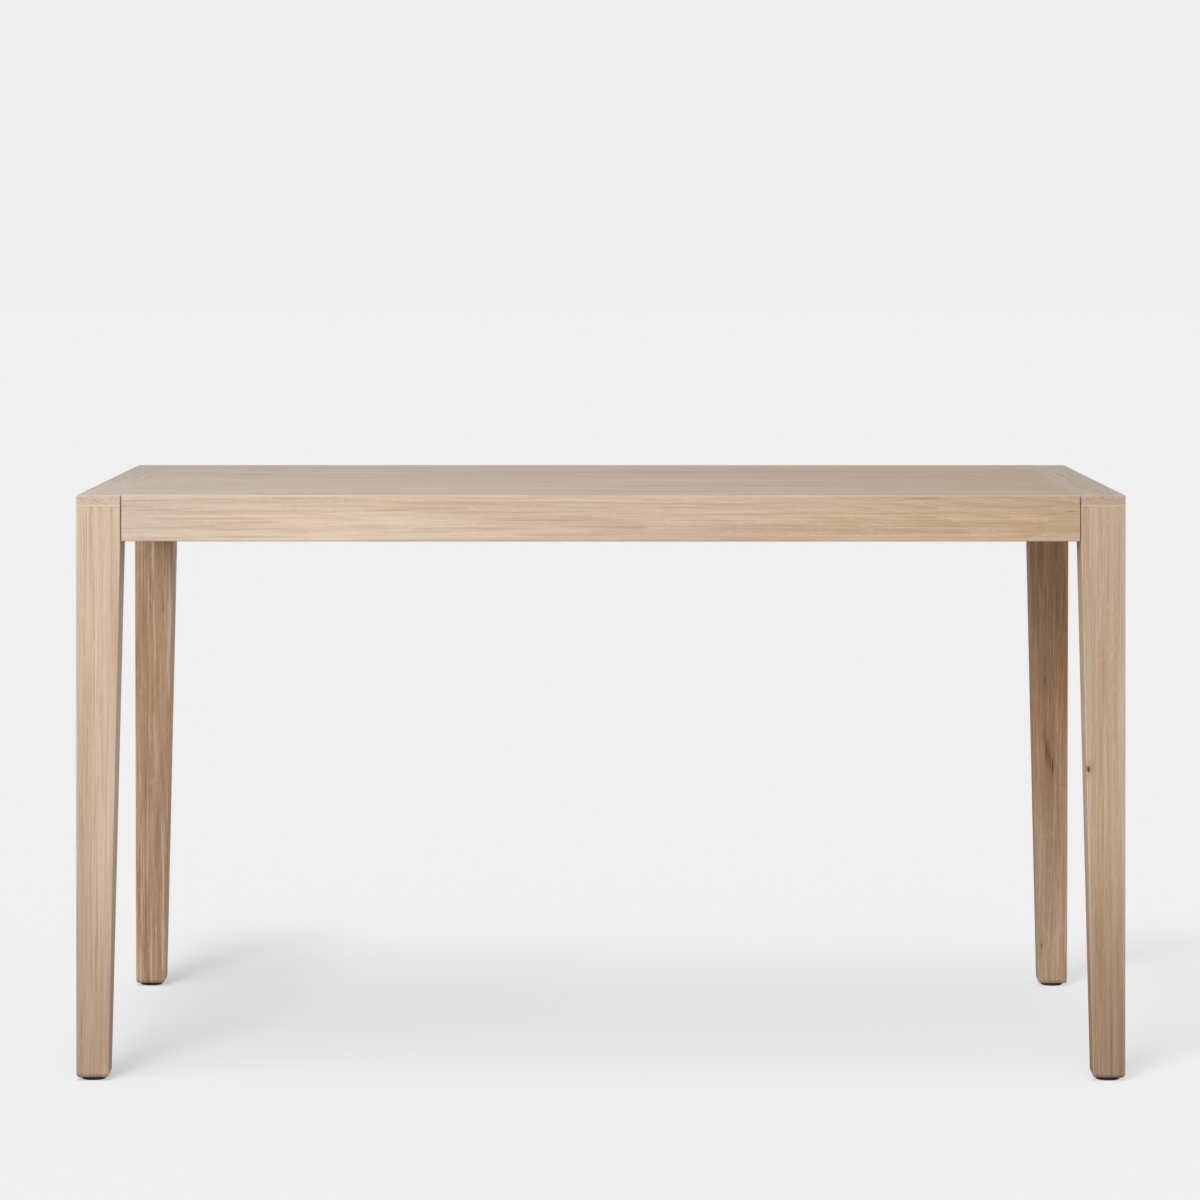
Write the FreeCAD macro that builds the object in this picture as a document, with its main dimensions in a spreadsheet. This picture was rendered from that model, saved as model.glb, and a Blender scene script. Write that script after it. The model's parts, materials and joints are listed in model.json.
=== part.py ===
"""Communion table in oak: two end frames bolted to a centre section, on four levelling glides.

Lengths are millimetres. +Z is up, +X runs along the table, and the front faces -Y. The origin is
on the floor under the middle of the table. One corner or one half is modelled, and mirrored.
"""

import FreeCAD
import Part
import Sketcher
import math
import os

# Driving dimensions. Each becomes a spreadsheet cell with this alias.
SIZES = {
    "table_length": 1370,
    "table_depth": 760,
    "table_height": 765,
    "glide_height": 3.8,
    "leg_width": 58,
    "foot_width": 42,
    "arris_radius": 1.5,
    "top_arris": 1,
    "foot_round": 5,
    "apron_height": 60,
    "apron_thickness": 20,
    "top_thickness": 20,
    "cap_thickness": 13,
    "board_count": 6,
    "groove_width": 1.5,
    "groove_depth": 3,
    "rail_thickness": 25,
    "rail_height": 39,
    "batten_width": 40,
    "batten_height": 25,
    "batten_gap": 5,
    "batten_place": 209,
    "brace_start": 46,
    "brace_end": 78,
    "tenon_thickness": 10,
    "tenon_height": 30,
    "tenon_length": 60,
    "tenon_inset": 10,
    "dowel_radius": 4,
    "dowel_bevel": 1,
    "apron_dowel_length": 50,
    "apron_dowel_rise": 12,
    "apron_dowel_spacing": 20,
    "cap_dowel_length": 22,
    "cap_dowel_bite": 7,
    "cap_dowel_spacing": 200,
    "near_cap_dowel_across": 22,
    "near_cap_dowel_back": 15,
    "far_cap_dowel_across": 40,
    "far_cap_dowel_back": 44,
    "locating_dowel_radius": 5,
    "locating_dowel_length": 40,
    "locating_dowel_place": 105,
    "bolt_radius": 4,
    "bolt_clearance": 0.5,
    "bolt_length": 50,
    "bolt_head_height": 5.3,
    "bolt_head_width": 13,
    "bolt_drop": 39,
    "bolt_leg_place": 345,
    "bolt_beam_place": 150,
    "washer_radius": 8,
    "washer_thickness": 1.6,
    "washer_clearance": 0.2,
    "insert_radius": 6,
    "insert_length": 15,
    "bolt_hole_depth": 30,
    "screw_radius": 2,
    "screw_clearance": 0.5,
    "screw_slot_reach": 1.5,
    "screw_length": 35,
    "screw_point": 3,
    "screw_head_radius": 4,
    "screw_head_height": 2.8,
    "screw_head_round": 1,
    "screw_head_clearance": 1,
    "recess_reach": 2.2,
    "recess_half_width": 0.5,
    "recess_depth": 1.4,
    "glide_radius": 15.5,
    "glide_thickness": 3.4,
    "glide_edge": 1,
    "glide_lip": 0.8,
    "glide_ledge": 2,
    "stem_length": 43.5,
    "stem_bevel": 1,
    "stem_socket_width": 5,
    "stem_socket_depth": 4,
    "collar_radius": 6.5,
    "collar_height": 1.6,
    "glide_insert_radius": 6,
    "glide_insert_length": 18,
    "glide_insert_flange": 1.2,
    "flange_reach": 2,
    "stem_hole_depth": 48,
    "fit_gap": 0.05,
}
PLANES = {"x": ("YZ_Plane", 1), "y": ("XZ_Plane", -1), "z": ("XY_Plane", 1)}
MIRROR_ACROSS = {"x": FreeCAD.Vector(1, 0, 0), "y": FreeCAD.Vector(0, 1, 0)}
H_AXIS, V_AXIS = -1, -2  # a sketch's own axes, as its constraints number them
START, END, CENTRE = 1, 2, 3
TINY = 1e-6
HOLE_SPARE = 0.5  # left empty at the bottom of a hole or mortise
COLLAR_PLAY = 0.1  # above and below the stem's collar
SLIVER = 0.5  # shorter than any edge that is eased

doc = FreeCAD.newDocument("CommunionTable")
parts = []


class Size:
    """A length that knows both its number and the spreadsheet formula behind it."""

    def __init__(self, number, formula=None):
        self.number = float(number)
        self.formula = formula or f"{self.number:.9g}"

    def joined(self, sign, other, number):
        return Size(number, f"({self.formula} {sign} {as_size(other).formula})")

    def __add__(self, other):
        return self.joined("+", other, self.number + as_size(other).number)

    def __sub__(self, other):
        return self.joined("-", other, self.number - as_size(other).number)

    def __mul__(self, other):
        return self.joined("*", other, self.number * as_size(other).number)

    def __truediv__(self, other):
        return self.joined("/", other, self.number / as_size(other).number)

    def __neg__(self):
        return self * -1


def as_size(value):
    return value if isinstance(value, Size) else Size(value)


def make_sheet():
    """Writes the driving dimensions to the sheet, and returns each one by its alias."""
    sheet = doc.addObject("Spreadsheet::Sheet", "Sizes")
    for row, (alias, number) in enumerate(SIZES.items(), start=1):
        sheet.set(f"A{row}", alias.replace("_", " "))
        sheet.set(f"B{row}", str(number))
        sheet.setAlias(f"B{row}", alias)
    doc.recompute()
    return {alias: Size(number, f"Sizes.{alias}") for alias, number in SIZES.items()}


def bind(item, name, value):
    item.setExpression(name, as_size(value).formula)


def both(value):
    """The same distance to either side of the middle."""
    return (-value, value)


s = make_sheet()
gap = s["fit_gap"]

# The table's outline, for its left end and its front. The other half mirrors it.
left, front, top = -s["table_length"] / 2, -s["table_depth"] / 2, s["table_height"]
foot = s["glide_height"]
cap_low = top - s["cap_thickness"]
shoulder = top - s["apron_height"]
underside = top - s["top_thickness"]
inner_x, inner_y = left + s["leg_width"], front + s["leg_width"]
apron_back = front + s["apron_thickness"]
foot_centre = (left + s["foot_width"] / 2, front + s["foot_width"] / 2)
board_width = s["table_depth"] / s["board_count"]
board_middles = [front + board_width * (n + 0.5) for n in range(SIZES["board_count"])]

# Fasteners: where they are, and the holes that take them.
dowel_hole = s["dowel_radius"] + gap
locating_hole = s["locating_dowel_radius"] + gap
screw_hole = s["screw_radius"] + gap
bolt_hole = s["bolt_radius"] + s["bolt_clearance"]
bolt_level = top - s["bolt_drop"]
screw_seat = underside - s["batten_height"]
screw_tip = screw_seat + s["screw_length"]
screw_columns = both(inner_x + s["rail_thickness"] / 2) + both(s["batten_place"])
cap_dowel_low = cap_low + s["cap_dowel_bite"] - s["cap_dowel_length"]
apron_middle = front + s["apron_thickness"] / 2
lower_dowel = shoulder + s["apron_dowel_rise"]
apron_dowel_places = [(apron_middle, lower_dowel)]
apron_dowel_places.append((apron_middle, lower_dowel + s["apron_dowel_spacing"]))
leg_cap_dowel_places = [
    (left + s["near_cap_dowel_across"], front + s["near_cap_dowel_back"]),
    (left + s["far_cap_dowel_across"], front + s["far_cap_dowel_back"]),
]
beam_middle = (left + inner_x) / 2
beam_cap_dowel_places = [(beam_middle, s["cap_dowel_spacing"] * step) for step in (-1, 0, 1)]
locating_dowel_places = [(place, bolt_level) for place in both(s["locating_dowel_place"])]
collar_low = s["glide_thickness"] - s["collar_height"] - s["glide_lip"]
collar_high = collar_low + s["collar_height"]


# Sketches


def new_sketch(body, axis, offset=0):
    """A sketch across an axis, at a distance along it from the body's origin."""
    role, sign = PLANES[axis]
    plane = next(item for item in body.Origin.OriginFeatures if item.Role == role)
    sketch = body.newObject("Sketcher::SketchObject", "Sketch")
    sketch.AttachmentSupport = (plane, [""])
    sketch.MapMode = "FlatFace"
    bind(sketch, "AttachmentOffset.Base.z", as_size(offset) * sign)
    return sketch


def pin_point(sketch, shape, end, across=None, up=None):
    """Ties a point of the sketch to the sheet by its distances from the sketch's own axes."""
    for kind, axis, value in (("DistanceX", V_AXIS, across), ("DistanceY", H_AXIS, up)):
        if value is None:
            continue
        value = as_size(value)
        if abs(value.number) < TINY:
            sketch.addConstraint(Sketcher.Constraint("PointOnObject", shape, end, axis))
            continue
        rule = Sketcher.Constraint(kind, shape, end, value.number)
        bind(sketch, f"Constraints[{sketch.addConstraint(rule)}]", value)


def pin_radius(sketch, shape, radius):
    rule = Sketcher.Constraint("Radius", shape, as_size(radius).number)
    bind(sketch, f"Constraints[{sketch.addConstraint(rule)}]", radius)


def outline(body, axis, corners, bends=None, offset=0):
    """A closed outline through its corners, counterclockwise.

    bends maps a corner's number to the centre of the arc that leaves it.
    """
    sketch = new_sketch(body, axis, offset)
    bends = bends or {}
    points = [FreeCAD.Vector(as_size(u).number, as_size(v).number, 0) for u, v in corners]
    for number, start in enumerate(points):
        end = points[(number + 1) % len(points)]
        if number not in bends:
            sketch.addGeometry(Part.LineSegment(start, end), False)
            continue
        centre = FreeCAD.Vector(*[as_size(value).number for value in bends[number]], 0)
        circle = Part.Circle(centre, FreeCAD.Vector(0, 0, 1), (start - centre).Length)
        angles = [math.atan2(p.y - centre.y, p.x - centre.x) for p in (start, end)]
        sketch.addGeometry(Part.ArcOfCircle(circle, *angles), False)
    for number, (across, up) in enumerate(corners):
        following = (number + 1) % len(corners)
        sketch.addConstraint(Sketcher.Constraint("Coincident", number, END, following, START))
        pin_point(sketch, number, START, across, up)
    for number, (across, up) in bends.items():
        # The arc's two ends already fix its centre along the line between them.
        start, end = points[number], points[(number + 1) % len(points)]
        steep = abs(end.y - start.y) > abs(end.x - start.x)
        pin_point(sketch, number, CENTRE, *((across, None) if steep else (None, up)))
    return sketch


def circles(body, axis, centres, radius, offset=0):
    sketch = new_sketch(body, axis, offset)
    for number, (across, up) in enumerate(centres):
        centre = FreeCAD.Vector(as_size(across).number, as_size(up).number, 0)
        circle = Part.Circle(centre, FreeCAD.Vector(0, 0, 1), as_size(radius).number)
        sketch.addGeometry(circle, False)
        pin_point(sketch, number, CENTRE, across, up)
        pin_radius(sketch, number, radius)
    return sketch


def rounded_square(body, offset, width, inset, radius):
    """A level square with rounded corners, inset from a leg's width at its outer corner."""
    low, high = inset + radius, as_size(width) - inset - radius
    centres = [(left + low, front + low), (left + high, front + low)]
    centres += [(left + high, front + high), (left + low, front + high)]
    sketch = new_sketch(body, "z", offset)
    arcs = []
    for number, (across, up) in enumerate(centres):
        centre = FreeCAD.Vector(across.number, up.number, 0)
        circle = Part.Circle(centre, FreeCAD.Vector(0, 0, 1), radius.number)
        begins = math.radians(180 + 90 * number)
        arcs.append(Part.ArcOfCircle(circle, begins, begins + math.pi / 2))
    for number, arc in enumerate(arcs):
        following = arcs[(number + 1) % len(arcs)]
        sketch.addGeometry(arc, False)
        sketch.addGeometry(Part.LineSegment(arc.EndPoint, following.StartPoint), False)
    for number, (across, up) in enumerate(centres):
        arc, line, following = 2 * number, 2 * number + 1, (2 * number + 2) % 8
        sketch.addConstraint(Sketcher.Constraint("Tangent", arc, END, line, START))
        sketch.addConstraint(Sketcher.Constraint("Tangent", line, END, following, START))
        pin_point(sketch, arc, CENTRE, across, up)
        pin_radius(sketch, arc, radius)
    return sketch


# Features


def solid_volume(body):
    return body.Shape.Volume if body.Tip else 0.0


def extrude(body, kind, sketch, axis, start, stop):
    """Pads or pockets a sketch from start to stop along an axis, and checks that it did."""
    before = solid_volume(body)
    start, stop = as_size(start), as_size(stop)
    forward = 1 if stop.number > start.number else -1
    along_normal = forward == PLANES[axis][1]
    feature = body.newObject(f"PartDesign::{kind}", kind)
    feature.Profile = sketch
    bind(feature, "Length", (stop - start) * forward)
    feature.Reversed = along_normal if kind == "Pocket" else not along_normal
    doc.recompute()
    change = solid_volume(body) - before
    if abs(change) < TINY or (change > 0) != (kind == "Pad"):
        raise ValueError(f"a {kind} of {body.Label} changed its volume by {change}")


def add(body, axis, corners, start, stop, bends=None):
    extrude(body, "Pad", outline(body, axis, corners, bends, start), axis, start, stop)


def carve(body, axis, corners, start, stop):
    extrude(body, "Pocket", outline(body, axis, corners, None, start), axis, start, stop)


def add_round(body, axis, centre, radius, start, stop):
    extrude(body, "Pad", circles(body, axis, [centre], radius, start), axis, start, stop)


def drill(body, axis, centres, radius, start, stop):
    extrude(body, "Pocket", circles(body, axis, centres, radius, start), axis, start, stop)


def turn(body, corners, bends=None):
    """Turns an outline of (radius, height) corners about the body's own Z axis."""
    sketch = outline(body, "y", corners, bends)
    feature = body.newObject("PartDesign::Revolution", "Revolution")
    feature.Profile = sketch
    feature.ReferenceAxis = (sketch, ["V_Axis"])
    feature.Angle = 360
    doc.recompute()


def ease(body, radius, wanted):
    """Rounds the edges for which wanted(first end, last end) is true."""
    base = body.Tip
    names = []
    for number, edge in enumerate(base.Shape.Edges, start=1):
        if wanted(edge.Vertexes[0].Point, edge.Vertexes[-1].Point):
            names.append(f"Edge{number}")
    feature = body.newObject("PartDesign::Fillet", "Fillet")
    feature.Base = (base, names)
    bind(feature, "Radius", radius)
    doc.recompute()


def rectangle(near, far, low, high):
    return [(near, low), (far, low), (far, high), (near, high)]


def eased_below(near, far, low, high, radius):
    """A rectangle with its two lower corners rounded, as (corners, bends)."""
    corners = [(near, low + radius), (near + radius, low), (far - radius, low)]
    corners += [(far, low + radius), (far, high), (near, high)]
    bends = {0: (near + radius, low + radius), 2: (far - radius, low + radius)}
    return corners, bends


def mitre_point(radius):
    """How far in from both faces of a corner the middle of its rounding lies."""
    return radius * (1 - math.sqrt(0.5))


def hexagon(width):
    """A hexagon about the origin, by its width across flats."""
    reach = as_size(width) / math.sqrt(3)
    turns = [math.radians(60 * number) for number in range(6)]
    return [(reach * round(math.cos(a), 9), reach * round(math.sin(a), 9)) for a in turns]


# Sub-parts


def new_body(label):
    body = doc.addObject("PartDesign::Body", label)
    body.Label = label
    return body


def keep(item, solids=1):
    """Lists an object as a finished sub-part with this many solids."""
    parts.append((item, solids))
    return item


def mirrored(source, label, axis):
    """The same piece on the other side of the table's middle."""
    copy = doc.addObject("Part::Mirroring", label)
    copy.Source = source
    copy.Normal = MIRROR_ACROSS[axis]
    copy.Label = label
    return keep(copy, dict(parts)[source])


def left_and_right(source, name):
    keep(source)
    mirrored(source, f"right_{name}", "x")


def front_and_back(source, name):
    keep(source)
    mirrored(source, f"back_{name}", "y")


def four_corners(source, name):
    keep(source)
    front_right = mirrored(source, f"front_right_{name}", "x")
    mirrored(source, f"back_left_{name}", "y")
    mirrored(front_right, f"back_right_{name}", "y")


def group(label, pattern, places, direction=None):
    """Copies of one piece as one sub-part. direction gives its axis from a place."""
    copies = []
    for place in places:
        copy = doc.addObject("App::Link", f"{label}_copy")
        copy.LinkedObject = pattern
        if direction:
            turned = FreeCAD.Rotation(FreeCAD.Vector(0, 0, 1), direction(place))
            copy.Placement = FreeCAD.Placement(FreeCAD.Vector(), turned)
        for letter, value in zip("xyz", place):
            bind(copy, f"Placement.Base.{letter}", value)
        copies.append(copy)
    compound = doc.addObject("Part::Compound", label)
    compound.Label = label
    compound.Links = copies
    keep(compound, len(copies))


def across_outward(place):
    """From the middle of the table towards the end that the place is at."""
    return FreeCAD.Vector(math.copysign(1, as_size(place[0]).number), 0, 0)


def make_leg():
    """A square leg, tapered on its two inner faces below the apron and rounded at the foot."""
    body = new_body("front_left_leg")
    edge = s["arris_radius"]
    shallow = mitre_point(s["foot_round"])
    levels = [
        (foot, s["foot_width"], s["foot_round"]),
        (foot + shallow, s["foot_width"], shallow),
        (foot + s["foot_round"], s["foot_width"], as_size(0)),
        (shoulder, s["leg_width"], as_size(0)),
        (cap_low, s["leg_width"], as_size(0)),
    ]
    sections = []
    for level, width, inset in levels:
        sections.append(rounded_square(body, level, width, inset, edge))
    loft = body.newObject("PartDesign::AdditiveLoft", "Taper")
    loft.Profile = sections[0]
    loft.Sections = sections[1:]
    loft.Ruled = True
    doc.recompute()

    flange_top = foot + s["glide_insert_flange"]
    flange_radius = s["glide_insert_radius"] + s["flange_reach"]
    drill(body, "z", [foot_centre], flange_radius + gap, foot, flange_top)
    insert_top = foot + s["glide_insert_length"]
    drill(body, "z", [foot_centre], s["glide_insert_radius"] + gap, flange_top, insert_top)
    stem_top = foot + s["stem_hole_depth"]
    drill(body, "z", [foot_centre], bolt_hole, insert_top, stem_top)

    drill_for_bolts(body, [(-s["bolt_leg_place"], bolt_level)])
    dowel_end = inner_x - s["apron_dowel_length"] / 2 - HOLE_SPARE
    drill(body, "x", apron_dowel_places, dowel_hole, inner_x, dowel_end)
    drill(body, "z", leg_cap_dowel_places, dowel_hole, cap_low, cap_dowel_low - HOLE_SPARE)
    mortise_end = inner_y - s["tenon_length"] / 2 - HOLE_SPARE
    carve(body, "y", rectangle(*tenon_section(gap)), inner_y, mortise_end)
    return body


def drill_for_bolts(body, centres):
    """Holes for threaded inserts, and behind them for the bolts' ends."""
    insert_end = inner_x - s["insert_length"]
    drill(body, "x", centres, s["insert_radius"] + gap, inner_x, insert_end)
    drill(body, "x", centres, bolt_hole, insert_end, inner_x - s["bolt_hole_depth"])


def tenon_section(spare=0):
    """(left, right, low, high) of the loose tenon between a leg and its end beam."""
    near = left + s["tenon_inset"]
    middle = (shoulder + cap_low) / 2
    half = s["tenon_height"] / 2 + spare
    return near - spare, near + s["tenon_thickness"] + spare, middle - half, middle + half


def make_end_beam():
    """The beam between an end's two legs, under its cap."""
    body = new_body("left_end_beam")
    corners, bends = eased_below(left, inner_x, shoulder, cap_low, s["arris_radius"])
    add(body, "y", corners, inner_y, -inner_y, bends)
    groove = rectangle(left, left + s["groove_depth"], shoulder, cap_low)
    bite = s["tenon_length"] / 2 + HOLE_SPARE
    for end, inward in ((inner_y, 1), (-inner_y, -1)):
        carve(body, "y", groove, end, end + s["groove_width"] * inward)
        carve(body, "y", rectangle(*tenon_section(gap)), end, end + bite * inward)
    drill_for_bolts(body, [(place, bolt_level) for place in both(s["bolt_beam_place"])])
    locating_end = inner_x - s["locating_dowel_length"] / 2 - HOLE_SPARE
    drill(body, "x", locating_dowel_places, locating_hole, inner_x, locating_end)
    drill(body, "z", beam_cap_dowel_places, dowel_hole, cap_low, cap_dowel_low - HOLE_SPARE)
    return body


def make_end_cap():
    """The board that covers an end's legs and beam, its end grain at the front and back."""
    body = new_body("left_end_cap")
    add(body, "y", rectangle(left, inner_x, cap_low, top), front, -front)
    corner = s["arris_radius"]
    ease(body, corner, lambda a, b: abs(a.x - b.x) + abs(a.y - b.y) < TINY)
    ease(body, s["top_arris"], lambda a, b: min(a.z, b.z) > top.number - TINY and outer_edge(a, b))
    dowels = leg_cap_dowel_places + mirror_in_depth(leg_cap_dowel_places)
    dowels += beam_cap_dowel_places
    drill(body, "z", dowels, dowel_hole, cap_low, cap_low + s["cap_dowel_bite"] + HOLE_SPARE / 2)
    return body


def outer_edge(a, b):
    """Is this top edge of the cap anywhere but along the centre section?"""
    return (a.x + b.x) / 2 < inner_x.number - SLIVER or abs(a.x - b.x) > SLIVER


def mirror_in_depth(places):
    return [(across, -up) for across, up in places]


def make_apron():
    """The front apron, mitred to the top's front board so that their arris is one line."""
    body = new_body("front_apron")
    radius = s["top_arris"]
    half_way = mitre_point(radius)
    corners = [
        (front, shoulder),
        (apron_back, shoulder),
        (apron_back, underside),
        (front + half_way, top - half_way),
        (front, top - radius),
    ]
    add(body, "x", corners, inner_x, -inner_x, {3: (front + radius, top - radius)})
    ease(body, s["arris_radius"], lower_front_edge)
    groove = rectangle(front, front + s["groove_depth"], shoulder, top)
    bite = s["apron_dowel_length"] / 2 + HOLE_SPARE
    for end, inward in ((inner_x, 1), (-inner_x, -1)):
        carve(body, "x", groove, end, end + s["groove_width"] * inward)
        drill(body, "x", apron_dowel_places, dowel_hole, end, end + bite * inward)
    return body


def lower_front_edge(a, b):
    corner = (front.number, shoulder.number)
    return math.dist((a.y, a.z), corner) < TINY and abs(a.x - b.x) > SLIVER


def make_top_board(number):
    """One of the top's edge-glued boards, counted from the front. The first is mitred."""
    body = new_body(f"top_board_{number + 1}")
    near, far = front + board_width * number, front + board_width * (number + 1)
    if number == 0:
        radius = s["top_arris"]
        half_way = mitre_point(radius)
        corners = [
            (apron_back, underside),
            (far, underside),
            (far, top),
            (front + radius, top),
            (front + half_way, top - half_way),
        ]
        add(body, "x", corners, inner_x, -inner_x, {3: (front + radius, top - radius)})
    else:
        add(body, "x", rectangle(near, far, underside, top), inner_x, -inner_x)
    middle = (near + far) / 2
    pilots = [(across, middle) for across in screw_columns]
    drill(body, "z", pilots, screw_hole, underside, screw_tip + HOLE_SPARE)
    return body


def make_cross_rail():
    """The rail at an end of the centre section, which the bolts pull against the end frame."""
    body = new_body("left_cross_rail")
    inner = inner_x + s["rail_thickness"]
    low = underside - s["rail_height"]
    corners, bends = eased_below(inner_x, inner, low, underside, s["arris_radius"])
    add(body, "y", corners, apron_back, -apron_back, bends)
    bolts = []
    for place in both(s["bolt_leg_place"]) + both(s["bolt_beam_place"]):
        bolts.append((place, bolt_level))
    drill(body, "x", bolts, bolt_hole, inner, inner_x)
    locating_end = inner_x + s["locating_dowel_length"] / 2 + HOLE_SPARE
    drill(body, "x", locating_dowel_places, locating_hole, inner_x, locating_end)
    screws = [((inner_x + inner) / 2, middle) for middle in board_middles]
    head_hole = s["screw_head_radius"] + s["screw_head_clearance"]
    drill(body, "z", screws, head_hole, low, screw_seat)
    drill(body, "z", screws, s["screw_radius"] + s["screw_clearance"], screw_seat, underside)
    return body


def make_batten():
    """A batten across the underside, slotted so that the boards can shrink and swell."""
    body = new_body("left_batten")
    middle = -s["batten_place"]
    near, far = middle - s["batten_width"] / 2, middle + s["batten_width"] / 2
    reach = apron_back + s["batten_gap"]
    corners, bends = eased_below(near, far, screw_seat, underside, s["arris_radius"])
    add(body, "y", corners, reach, -reach, bends)
    wide = s["screw_radius"] + s["screw_clearance"]
    long = s["screw_radius"] + s["screw_slot_reach"]
    for board in board_middles:
        slot = rectangle(middle - wide, middle + wide, board - long, board + long)
        carve(body, "z", slot, screw_seat, underside)
    return body


def make_brace():
    """A brace glued across a corner of the centre section, clear of the bolt's head."""
    body = new_body("front_left_corner_brace")
    corner_x, corner_y = inner_x + s["rail_thickness"], apron_back
    start, end = s["brace_start"], s["brace_end"]
    corners = [
        (corner_x + start, corner_y),
        (corner_x + end, corner_y),
        (corner_x, corner_y + end),
        (corner_x, corner_y + start),
    ]
    add(body, "z", corners, underside - s["rail_height"], underside)
    return body


def make_tenons():
    pattern = new_body("tenon_pattern")
    width, height = s["tenon_thickness"], s["tenon_height"]
    half = s["tenon_length"] / 2
    add(pattern, "y", rectangle(-width / 2, width / 2, -height / 2, height / 2), -half, half)
    across = left + s["tenon_inset"] + width / 2
    middle = (shoulder + cap_low) / 2
    places = [(x, y, middle) for x in both(across) for y in both(inner_y)]
    group("loose_tenons", pattern, places)


def dowel_pattern(name, radius, length):
    """A dowel along Z about its own middle, with bevelled ends."""
    pattern = new_body(name)
    half, bevel = length / 2, s["dowel_bevel"]
    corners = [(0, -half), (radius - bevel, -half), (radius, -half + bevel)]
    corners += [(radius, half - bevel), (radius - bevel, half), (0, half)]
    turn(pattern, corners)
    return pattern


def make_dowels():
    pattern = dowel_pattern("apron_dowel_pattern", s["dowel_radius"], s["apron_dowel_length"])
    places = []
    for x in both(inner_x):
        for y, z in apron_dowel_places + [(-y, z) for y, z in apron_dowel_places]:
            places.append((x, y, z))
    group("apron_dowels", pattern, places, across_outward)

    pattern = dowel_pattern("cap_dowel_pattern", s["dowel_radius"], s["cap_dowel_length"])
    middle = cap_dowel_low + s["cap_dowel_length"] / 2
    columns = leg_cap_dowel_places + mirror_in_depth(leg_cap_dowel_places) + beam_cap_dowel_places
    places = [(x * side, y, middle) for x, y in columns for side in (1, -1)]
    group("cap_dowels", pattern, places)

    radius, length = s["locating_dowel_radius"], s["locating_dowel_length"]
    pattern = dowel_pattern("locating_dowel_pattern", radius, length)
    places = [(x, y, z) for x in both(inner_x) for y, z in locating_dowel_places]
    group("locating_dowels", pattern, places, across_outward)


def make_frame_bolts():
    """Hexagon bolts, each with a washer under its head and a threaded insert to pull on."""
    bolt = new_body("bolt_pattern")
    add(bolt, "z", hexagon(s["bolt_head_width"]), -s["bolt_head_height"], 0)
    add_round(bolt, "z", (0, 0), s["bolt_radius"] - gap, 0, s["bolt_length"])
    washer = new_body("washer_pattern")
    add_round(washer, "z", (0, 0), s["washer_radius"], -s["washer_thickness"], 0)
    washer_hole = s["bolt_radius"] + s["washer_clearance"]
    drill(washer, "z", [(0, 0)], washer_hole, -s["washer_thickness"], 0)
    insert = new_body("insert_pattern")
    add_round(insert, "z", (0, 0), s["insert_radius"], 0, s["insert_length"])
    drill(insert, "z", [(0, 0)], s["bolt_radius"], 0, s["insert_length"])

    rows = both(s["bolt_leg_place"]) + both(s["bolt_beam_place"])
    rail_face = inner_x + s["rail_thickness"]
    head_face = rail_face + s["washer_thickness"]
    for label, pattern, face in (
        ("frame_bolts", bolt, head_face),
        ("bolt_washers", washer, rail_face),
        ("bolt_inserts", insert, inner_x),
    ):
        places = [(x, y, bolt_level) for x in both(face) for y in rows]
        group(label, pattern, places, across_outward)


def make_screws():
    """Pan-head screws up through the rails and battens into the top's boards."""
    screw = new_body("screw_pattern")
    radius, length = s["screw_radius"], s["screw_length"]
    head, low, bend = s["screw_head_radius"], -s["screw_head_height"], s["screw_head_round"]
    corners = [(0, low), (head - bend, low), (head, low + bend), (head, 0), (radius, 0)]
    corners += [(radius, length - s["screw_point"]), (0, length)]
    turn(screw, corners, {1: (head - bend, low + bend)})
    arm, slot = s["recess_reach"], s["recess_half_width"]
    for wide, tall in ((arm, slot), (slot, arm)):
        carve(screw, "z", rectangle(-wide, wide, -tall, tall), low, low + s["recess_depth"])
    group("top_screws", screw, [(x, y, screw_seat) for x in screw_columns for y in board_middles])


def at_foot(label):
    """A body whose own Z axis is the middle of the front left foot, from the floor."""
    body = new_body(label)
    bind(body, "Placement.Base.x", foot_centre[0])
    bind(body, "Placement.Base.y", foot_centre[1])
    return body


def make_glide_insert():
    """The threaded insert in the foot, with a flange flush with the wood."""
    body = at_foot("front_left_glide_insert")
    bore, radius, bevel = s["bolt_radius"], s["glide_insert_radius"], s["stem_bevel"]
    flange = radius + s["flange_reach"]
    flange_top, insert_top = foot + s["glide_insert_flange"], foot + s["glide_insert_length"]
    corners = [(bore, foot), (flange, foot), (flange, flange_top), (radius, flange_top)]
    corners += [(radius, insert_top - bevel), (radius - bevel, insert_top), (bore, insert_top)]
    turn(body, corners)
    return body


def make_glide_base():
    """The round plastic base, hollow around the stem's collar, which turns in it."""
    body = at_foot("front_left_glide_base")
    radius, edge, thick = s["glide_radius"], s["glide_edge"], s["glide_thickness"]
    key_hole, lip_bore = s["collar_radius"] - s["glide_ledge"], s["bolt_radius"]
    room = s["collar_radius"] + gap
    corners = [
        (key_hole, 0),
        (radius - edge, 0),
        (radius, edge),
        (radius, thick - edge),
        (radius - edge, thick),
        (lip_bore, thick),
        (lip_bore, collar_high + COLLAR_PLAY),
        (room, collar_high + COLLAR_PLAY),
        (room, collar_low - COLLAR_PLAY),
        (key_hole, collar_low - COLLAR_PLAY),
    ]
    turn(body, corners, {1: (radius - edge, edge)})
    return body


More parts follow.
